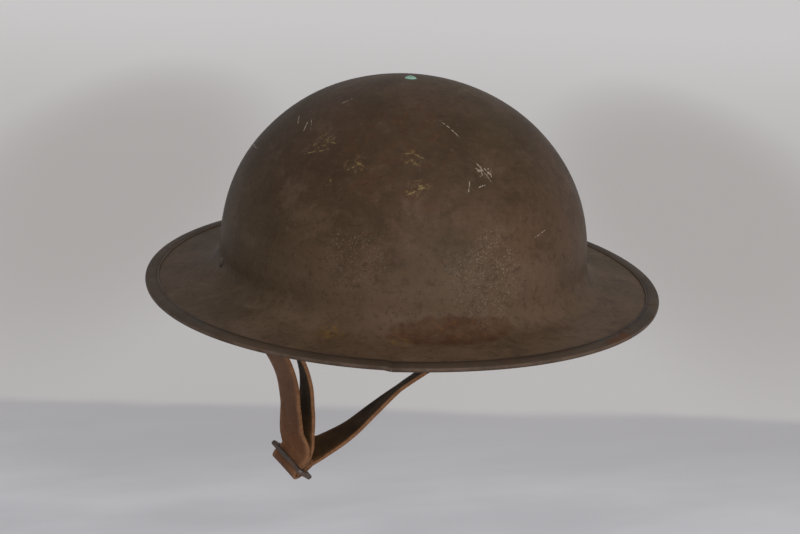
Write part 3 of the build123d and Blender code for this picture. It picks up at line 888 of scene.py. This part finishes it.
def sewRound(name, seam, height, inset, outwards):
    # A row of stitches round the band, on its outside or its inside
    count, length, radius, lean = seam
    model = makeStitch(name, length, radius)
    up = Vector((0, 0, 1))
    row = []
    for index in range(count):
        bearing = turn * index / count
        facing = Vector((math.cos(bearing), math.sin(bearing) * bandHigh.x / bandHigh.y, 0))
        facing = facing.normalized() * outwards
        along = up.cross(facing) * math.cos(lean) + up * math.sin(lean)
        side = along.cross(facing).normalized()
        matrix = axesAt(facing, side, along, bandPoint(bearing, inset, height))
        row.append(copyPiece(model, f"{name}{index}", matrix))
    bpy.data.objects.remove(model)
    finishPiece(joinPieces(row, name), "thread", "twine")


def makeBinding():
    low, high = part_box("band_binding")
    top = low.z + bindingHeight - bandEdge
    inner = bandThickness + bindingThickness
    binding = wrapBand("bandBinding", low.z + bandEdge, top, -bindingThickness, inner, 4)
    for vertex in binding.data.vertices:
        bearing = math.atan2(vertex.co.y, vertex.co.x)
        pucker = math.sin(bearing * 110) * 0.00012
        outward = Vector((math.cos(bearing), math.sin(bearing), 0))
        vertex.co = vertex.co + outward * pucker
    smooth(binding, 60)
    finishPiece(binding, "binding", "oilcloth", "band_binding")
    height = low.z + bindingHeight * 0.68
    proud = bindingThickness + 0.00005
    sewRound("bindingSeamInside", bindingSeam, height, bandThickness + proud, -1)
    sewRound("bindingSeamOutside", bindingSeam, height, -proud, 1)


def makeBuffers():
    low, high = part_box("rubber_buffers")
    radius = bufferRadius
    tube = add("rubberTube", addCylinder, vertices=32, radius=radius, depth=high.z - low.z)
    edit(tube)
    selectCaps(tube)
    bpy.ops.mesh.inset(thickness=radius - bufferBore, use_even_offset=False)
    bpy.ops.mesh.bridge_edge_loops()
    faceOutwards()
    roundEdges(tube, 0.0005, 3, 50)
    applyAll(tube)
    tubes = []
    for index in range(bufferCount):
        bearing = turn * (index + 0.5) / bufferCount
        spot = bandPoint(bearing, -radius - 0.0004, (low.z + high.z) / 2)
        twin = copyPiece(tube, f"rubberTube{index}", Matrix.Identity(4))
        for vertex in twin.data.vertices:
            place = vertex.co
            squeeze = 1 - 0.05 * math.cos(place.z * 110 + index)
            flat = place.y * (2 - squeeze) * 0.985
            vertex.co = Vector((place.x * squeeze, flat, place.z))
        placeMesh(twin, Matrix.Translation(spot) @ Matrix.Rotation(bearing, 4, "Z"))
        tubes.append(twin)
    bpy.data.objects.remove(tube)
    buffers = joinPieces(tubes, "rubberTubes")
    smooth(buffers, 50)
    finishPiece(buffers, "rubber", "buffer_rubber", "rubber_buffers")


def makeStrip(node, name, alongY):
    # A flat cloth strip laid over the arch that its solid follows
    low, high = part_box(node)
    half = max(high.y, high.x) - stripThickness / 2
    spring = bandHigh.z + bandEdge
    rise = high.z - stripThickness / 2 - spring
    strip = add(name, addGrid, x_subdivisions=8, y_subdivisions=120, size=1)
    straight = spring - low.z
    arc = (half + rise) / 2 * math.pi / 2
    total = 2 * (straight + arc)
    for vertex in strip.data.vertices:
        across = vertex.co.x * (stripWidth - 0.0006)
        run = (0.5 - abs(vertex.co.y)) * total
        side = 1 if vertex.co.y > 0 else -1
        lean = max(run - straight, 0) / arc * math.pi / 2
        reach, height = half * math.cos(lean), spring + rise * math.sin(lean)
        if run < straight:
            height = low.z + run
        # The strip follows the dome across its width too
        wave = noise.noise(Vector((across * 60, run * 30, side * 3.0))) * 0.00025
        lift = wave - across * across / (2 * domeRadius) * 0.9
        reach += lift * math.cos(lean)
        height += lift * math.sin(lean)
        spot = (across, side * reach, height)
        vertex.co = spot if alongY else (spot[1], -across, height)
    thicken(strip, stripThickness - 0.0002, 0)
    roundEdges(strip, 0.0003)
    smooth(strip, 50)
    finishPiece(strip, "oilcloth", "oilcloth", node)


def makePad(rings=8):
    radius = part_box("felt_pad")[1].x
    pad = add("feltPad", addCircle, vertices=72, radius=radius * 0.985, fill_type="NGON")
    edit(pad)
    for ring in range(rings):
        bpy.ops.mesh.inset(thickness=radius / (rings + 1.5), use_even_offset=False)
    bpy.ops.mesh.delete(type="FACE")
    leave()
    inset = shellWall + 0.0006
    for vertex in pad.data.vertices:
        place = vertex.co
        reach = math.hypot(place.x, place.y)
        share = (reach / (crownHalfWidth - inset)) ** fullness
        rise = (crownRise - inset) * (1 - share) ** (1 / fullness)
        fray = noise.noise(place * 400) * 0.0008 * (reach / radius) ** 4
        spread = 1 + fray / radius
        height = springHeight + rise + rim
        vertex.co = (place.x * spread, place.y * oval * spread, height)
    thicken(pad, feltThickness, -1)
    roundEdges(pad, 0.0008)
    smooth(pad, 60)
    pad.data.materials.append(finishes["felt"])
    finishPiece(pad, None, "felt", "felt_pad")


makeHeadBand()
makeBinding()
makeBuffers()
makeStrip("long_crown_strip", "longCrownStrip", True)
makeStrip("short_crown_strip", "shortCrownStrip", False)
makePad()
print("lining is made")


# Net and its lace

knotRadius = 0.00125

def knotNet(columns=30, rows=13, thread=0.0015, inset=0.001, foot=0.0012, mouth=0.015):
    low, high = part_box("crown_net")
    halfWidth, halfLength = high.x - inset, high.y - inset
    spring = low.z + foot
    # The solid is open at its mouth, so its dome would reach a little higher
    rise = (high.z - inset - spring) / math.sqrt(1 - (mouth / halfWidth) ** 2)
    last = math.acos(mouth / halfWidth)
    net = add("knottedNet", addGrid, x_subdivisions=columns, y_subdivisions=rows, size=1)
    # Every square is poked and the old edges go, which leaves the slanting meshes
    edit(net)
    corners = len(net.data.vertices)
    bpy.ops.mesh.poke()
    mesh = bmesh.from_edit_mesh(net.data)
    for vertex in mesh.verts:
        vertex.select = False
    for edge in mesh.edges:
        isOld = all(vertex.index < corners for vertex in edge.verts)
        edge.select = isOld and not edge.is_boundary
    bmesh.update_edit_mesh(net.data)
    bpy.ops.mesh.dissolve_edges(use_verts=False)
    leave()
    for vertex in net.data.vertices:
        bearing, v = (vertex.co.x + 0.5) * turn, vertex.co.y + 0.5
        angle = last * (v * 0.9 + 0.1 * v * v)
        slack = noise.noise(Vector((math.cos(bearing) * 3, math.sin(bearing) * 3, v * 6)))
        bearing += slack * 0.012
        vertex.co = (
            halfWidth * math.cos(angle) * math.cos(bearing),
            halfLength * math.cos(angle) * math.sin(bearing),
            spring + rise * math.sin(angle) + slack * 0.0004,
        )
    edit(net)
    bpy.ops.mesh.remove_doubles(threshold=0.0003)
    faceOutwards()
    crossings = [vertex.co.copy() for vertex in net.data.vertices]
    twine = net.modifiers.new("twine", "WIREFRAME")
    twine.thickness = thread
    twine.use_even_offset = False
    twine.use_boundary = True
    net.modifiers.new("round", "SUBSURF").levels = 1
    applyAll(net)
    knot = add("netKnot", addSphere, subdivisions=1, radius=knotRadius)
    edit(knot)
    bpy.ops.mesh.subdivide(number_cuts=1, smoothness=0.6)
    leave()
    squash = Matrix.Diagonal((1.15, 0.9, 0.85, 1))
    knots = []
    for index, place in enumerate(crossings):
        twist = Matrix.Rotation(index * 1.3, 4, "Z") @ Matrix.Rotation(index * 0.7, 4, "X")
        matrix = Matrix.Translation(place) @ twist @ squash
        knots.append(copyPiece(knot, f"netKnot{index}", matrix))
    bpy.data.objects.remove(knot)
    net = joinPieces([net] + knots, "knottedNet")
    smooth(net, 80)
    finishPiece(net, "twine", "twine", "crown_net")


def tubeAlong(name, points, radius, closed):
    curve = bpy.data.curves.new(name, "CURVE")
    curve.dimensions = "3D"
    curve.bevel_depth = radius
    curve.bevel_resolution = 1
    curve.use_fill_caps = True
    spline = curve.splines.new("POLY")
    spline.points.add(len(points) - 1)
    for target, place in zip(spline.points, points):
        target.co = (*place, 1)
    spline.use_cyclic_u = closed
    tube = bpy.data.objects.new(name, curve)
    link(tube)
    pick(tube)
    bpy.ops.object.convert(target="MESH")
    return bpy.context.object


def drawLace(thread=0.001, tailThread=0.0009, waves=15, steps=180, tailSteps=24, knotSteps=28):
    # A ring woven through the net's mouth, with a knot and two tails at the front
    low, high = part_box("net_lace")
    radius = high.x - 0.0012
    height = (low.z + high.z) / 2
    points = []
    for index in range(steps):
        bearing = turn * index / steps
        reach = radius + math.sin(bearing * waves) * 0.0005
        lift = math.cos(bearing * waves) * 0.0004
        points.append((reach * math.cos(bearing), reach * math.sin(bearing), height + lift))
    parts = [tubeAlong("netLace", points, thread, True)]
    knotSpot = Vector((0, -radius + 0.0002, height - 0.0012))
    for side in (-1, 1):
        tail = []
        for index in range(tailSteps):
            share = index / (tailSteps - 1)
            across = side * (0.0012 + share * 0.011)
            depth = 0.001 + share * 0.004 * (1 - share)
            drop = -0.0022 - math.sin(share * 2.6) * 0.0035
            tail.append(knotSpot + Vector((across, depth, drop)))
        parts.append(tubeAlong(f"laceTail{side}", tail, tailThread, False))
    ring = []
    for index in range(knotSteps):
        angle = turn * index / knotSteps
        across, depth = math.sin(angle) * 0.0016, math.sin(angle * 2) * 0.0005
        ring.append(knotSpot + Vector((across, depth, -0.0008 + math.cos(angle) * 0.0019)))
    parts.append(tubeAlong("laceKnot", ring, tailThread, True))
    lace = joinPieces(parts, "netLace")
    smooth(lace, 80)
    finishPiece(lace, "thread", "twine", "net_lace")


knotNet()
drawLace()
netThread = 0.0016
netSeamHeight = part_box("crown_net")[0].z + netThread
sewRound("netStitches", netSeam, netSeamHeight, bandThickness + netThread, -1)
print("net is made")


# Chin strap, in millimetres from the rim's centre

strapWidth, strapThickness, strapGap = 19.0, 2.2, 0.3
wireRadius, barRadius = 1.4, 1.6
bucklePlace = Vector((-61.5, 0.0, -108.5))
barDirection = Vector((0.5, -0.72, -0.48))
railDirection = Vector((-0.493, -0.694, 0.526))
tabLength, tailLength = 15.0, 4.0
frameStep, leastStep = 1.6, 0.25  # frames nearer than the least to the last are left out
# Stations of each run: a place, and the turn there in degrees
outerRun = [
    ((-85.5, 0.0, -27.5), -14.0),
    ((-71.5, 0.0, -43.5), -26.0),
    ((-65.5, -0.5, -58.5), -22.0),
    ((-63.4, -1.5, -74.0), -20.0),
    ((-62.6, -2.8, -89.0), -28.0),
]
innerRun = [
    ((-76.5, 0.0, -27.0), 0.0),
    ((-60.5, 0.0, -41.5), -2.0),
    ((-54.8, 0.0, -56.5), -4.0),
    ((-53.6, -0.3, -73.0), -10.0),
    ((-55.3, -1.0, -89.0), -24.0),
]
longRun = [
    ((-43.0, 3.0, -102.5), 14.0),
    ((-28.0, 1.5, -93.0), 2.0),
    ((-13.0, 0.0, -79.5), -8.0),
    ((1.0, 0.0, -68.0), -18.0),
    ((17.0, 0.0, -57.5), -17.0),
    ((50.0, 0.0, -38.0), -6.0),
]


def backwards(run):
    return [(place, -angle) for place, angle in reversed(run)]


def downwards(direction):
    return direction * -1 if direction.z > 0 else direction


def levelAcross(along):
    return (Vector((0, 1, 0)) - along * along.y).normalized()


def turnOf(along, across):
    base = levelAcross(along)
    return math.degrees(math.atan2(along.dot(base.cross(across)), base.dot(across)))


def runFrames(start, stations, end):
    # Frames (place, along, across) from start to end through the stations
    places = [start[0]] + [Vector(place) for place, angle in stations] + [end[0]]
    turns = [turnOf(*start[1:])] + [angle for place, angle in stations] + [turnOf(*end[1:])]
    spans = [(b - a).length for a, b in zip(places, places[1:])]
    slopes = [start[1]]
    for index in range(1, len(places) - 1):
        before = (places[index] - places[index - 1]) / spans[index - 1]
        after = (places[index + 1] - places[index]) / spans[index]
        share = spans[index - 1] / (spans[index - 1] + spans[index])
        slopes.append(before * (1 - share) + after * share)
    slopes.append(end[1])
    frames = []
    for index, span in enumerate(spans):
        count = max(2, round(span / frameStep))
        a, b = places[index], places[index + 1]
        m, n = slopes[index] * span, slopes[index + 1] * span
        for part in range(count):
            t = part / count
            place = a * (2 * t**3 - 3 * t**2 + 1) + m * (t**3 - 2 * t**2 + t)
            place += b * (3 * t**2 - 2 * t**3) + n * (t**3 - t**2)
            along = a * (6 * t**2 - 6 * t) + m * (3 * t**2 - 4 * t + 1)
            along = (along + b * (6 * t - 6 * t**2) + n * (3 * t**2 - 2 * t)).normalized()
            angle = math.radians(turns[index] * (1 - t) + turns[index + 1] * t)
            across = Matrix.Rotation(angle, 3, along) @ levelAcross(along)
            frames.append((place, along, across))
    return frames


def foldFrames(centre, outward, side, radius, across, stub, steps=14, stubSteps=5):
    # Half a turn round a bar, from one side of it over outward to the other side
    frames = []
    for index in range(stubSteps):
        back = outward * stub * (1 - index / stubSteps)
        frames.append((centre + side * radius - back, outward, across))
    for index in range(steps + 1):
        angle = math.pi * index / steps
        place = centre + side * radius * math.cos(angle) + outward * radius * math.sin(angle)
        along = outward * math.cos(angle) - side * math.sin(angle)
        frames.append((place, along, across))
    for index in range(1, stubSteps + 1):
        back = outward * stub * index / stubSteps
        frames.append((centre - side * radius - back, outward * -1, across))
    return frames


def strapFrames(tabSteps=9, tailSteps=7):
    loopLow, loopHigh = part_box("left_bail")
    pivot = -(loopLow.x + loopHigh.x) / 2 / mm
    barHeight = (loopLow.z - rim) / mm + wireRadius
    leftBar = Vector((-pivot, 0, barHeight))
    rightBar = Vector((pivot, 0, barHeight))
    half = strapThickness / 2
    ring = wireRadius + strapGap + half
    wrap = barRadius + strapGap + half
    curl = wrap + strapGap + strapThickness
    stub, buckle = strapThickness * 2, bucklePlace
    bar = barDirection.normalized()
    rail = (railDirection - bar * railDirection.dot(bar)).normalized()
    away = downwards(bar.cross(rail))
    across = bar * -1
    width = Vector((0, 1, 0))
    leftAlong = (Vector(outerRun[0][0]) - leftBar).normalized()
    leftSide = downwards(width.cross(leftAlong))
    rightAlong = (rightBar - Vector(longRun[-1][0])).normalized()
    rightSide = downwards(width.cross(rightAlong))
    frames = []
    # The stitched tab at the right loop, and the fold round its wire
    for index in range(tabSteps):
        back = stub + tabLength * (1 - index / tabSteps)
        place = rightBar - rightSide * (ring - 0.1) - rightAlong * back
        frames.append((place, rightAlong, width))
    frames += foldFrames(rightBar, rightAlong, rightSide * -1, ring, width, stub)
    # The long run to the buckle, and the turn round its bar
    start = (rightBar + rightSide * ring - rightAlong * stub, rightAlong * -1, width)
    end = (buckle - rail * curl - away * stub, away, across)
    frames += runFrames(start, backwards(longRun), end)
    frames += foldFrames(buckle, away, rail * -1, curl, across, stub)
    # Up to the left loop, over its wire and down to the buckle again
    start = (buckle + rail * curl - away * stub, away * -1, across)
    end = (leftBar + leftSide * ring + leftAlong * stub, leftAlong * -1, width)
    frames += runFrames(start, backwards(outerRun), end)
    frames += foldFrames(leftBar, leftAlong * -1, leftSide, ring, width, stub)
    start = (leftBar - leftSide * ring + leftAlong * stub, leftAlong, width)
    end = (buckle + rail * wrap - away * stub, away, across)
    frames += runFrames(start, innerRun, end)
    frames += foldFrames(buckle, away, rail, wrap, across, stub)
    # The tail lifts a little off the bar
    for index in range(1, tailSteps + 1):
        place = buckle - rail * wrap - away * (stub + tailLength * index / tailSteps)
        frames.append((place + rail * 0.02 * index * index, away * -1, across))
    return frames


def cutStrap(columns=8):
    raw = strapFrames()
    frames, lengths = [raw[0]], [0.0]
    for candidate in raw[1:]:
        advance = (candidate[0] - frames[-1][0]).length
        if advance > leastStep:
            frames.append(candidate)
            lengths.append(lengths[-1] + advance)
    total = lengths[-1]
    rows = len(frames) - 1
    strap = add("leatherStrap", addGrid, x_subdivisions=columns, y_subdivisions=rows, size=1)
    for index, vertex in enumerate(strap.data.vertices):
        row, column = divmod(index, columns + 1)
        place, along, across = frames[row]
        share = column / columns - 0.5
        face = across.cross(along).normalized()
        run = lengths[row]
        # The edges of the leather wander and lift a little
        wander = noise.noise(Vector((run * 0.045, 3.7, 0))) * 0.45
        cup = (4 * share * share - 0.35) * 0.35 * noise.noise(Vector((run * 0.02, 9.1, 0)))
        half = strapWidth / 2 + noise.noise(Vector((run * 0.08, share * 2, 1.0))) * 0.25
        spot = place + across * (share * 2 * half + wander * 0.4) + face * cup
        vertex.co = spot * mm + Vector((0, 0, rim))
    layer = strap.data.uv_layers[0].data
    for loop in strap.data.loops:
        row, column = divmod(loop.vertex_index, columns + 1)
        layer[loop.index].uv = (column / columns, lengths[row] / total)
    for finish in ("flesh", "grain", "edge"):
        strap.data.materials.append(finishes[finish])
    leather = thicken(strap, (strapThickness - 0.1) * mm, 0)
    leather.material_offset = 1
    leather.material_offset_rim = 2
    roundEdges(strap, 0.45 * mm, 2, 50).material = 2
    smooth(strap, 60)
    print("strap leather is", round(total, 1), "mm long")
    finishPiece(strap, None, "strap_leather", "chin_strap", body="strap")


cutStrap()
print("strap is made")


# Finishes of the rigid pieces that keep their solids

rigidPieces = {"slide_buckle": "buckle", "crown_rivet": "copper", "crown_washer": "copper"}
for side in ("left", "right"):
    for kind in ("rivet", "lug", "bail"):
        rigidPieces[f"{side}_{kind}"] = "steel"
for node, finish in rigidPieces.items():
    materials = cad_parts[node].data.materials
    materials.clear()
    materials.append(finishes[finish])
